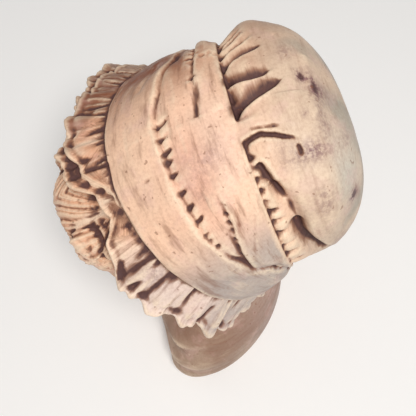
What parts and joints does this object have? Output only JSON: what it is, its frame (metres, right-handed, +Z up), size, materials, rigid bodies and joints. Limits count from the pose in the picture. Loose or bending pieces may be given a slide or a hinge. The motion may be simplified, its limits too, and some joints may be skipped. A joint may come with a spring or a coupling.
{
  "type": "bust",
  "caption": "Small cast bust of a woman in a gathered, ribboned bonnet with pleated frills, draped shoulders, cut flat below to stand.",
  "frame": {"origin": "middle of the flat underside, level with the surface it stands on", "axes": "+Z up, the face looks towards -Y, the person's left is +X"},
  "size_m": [0.1772, 0.1612, 0.2408],
  "materials": {
    "cast_body": "smooth, softly polished cream and warm tan, with a dark purple-brown wash in the folds"
  },
  "bodies": {
    "root": {"bust": "cast_body"}
  },
  "joints": []
}
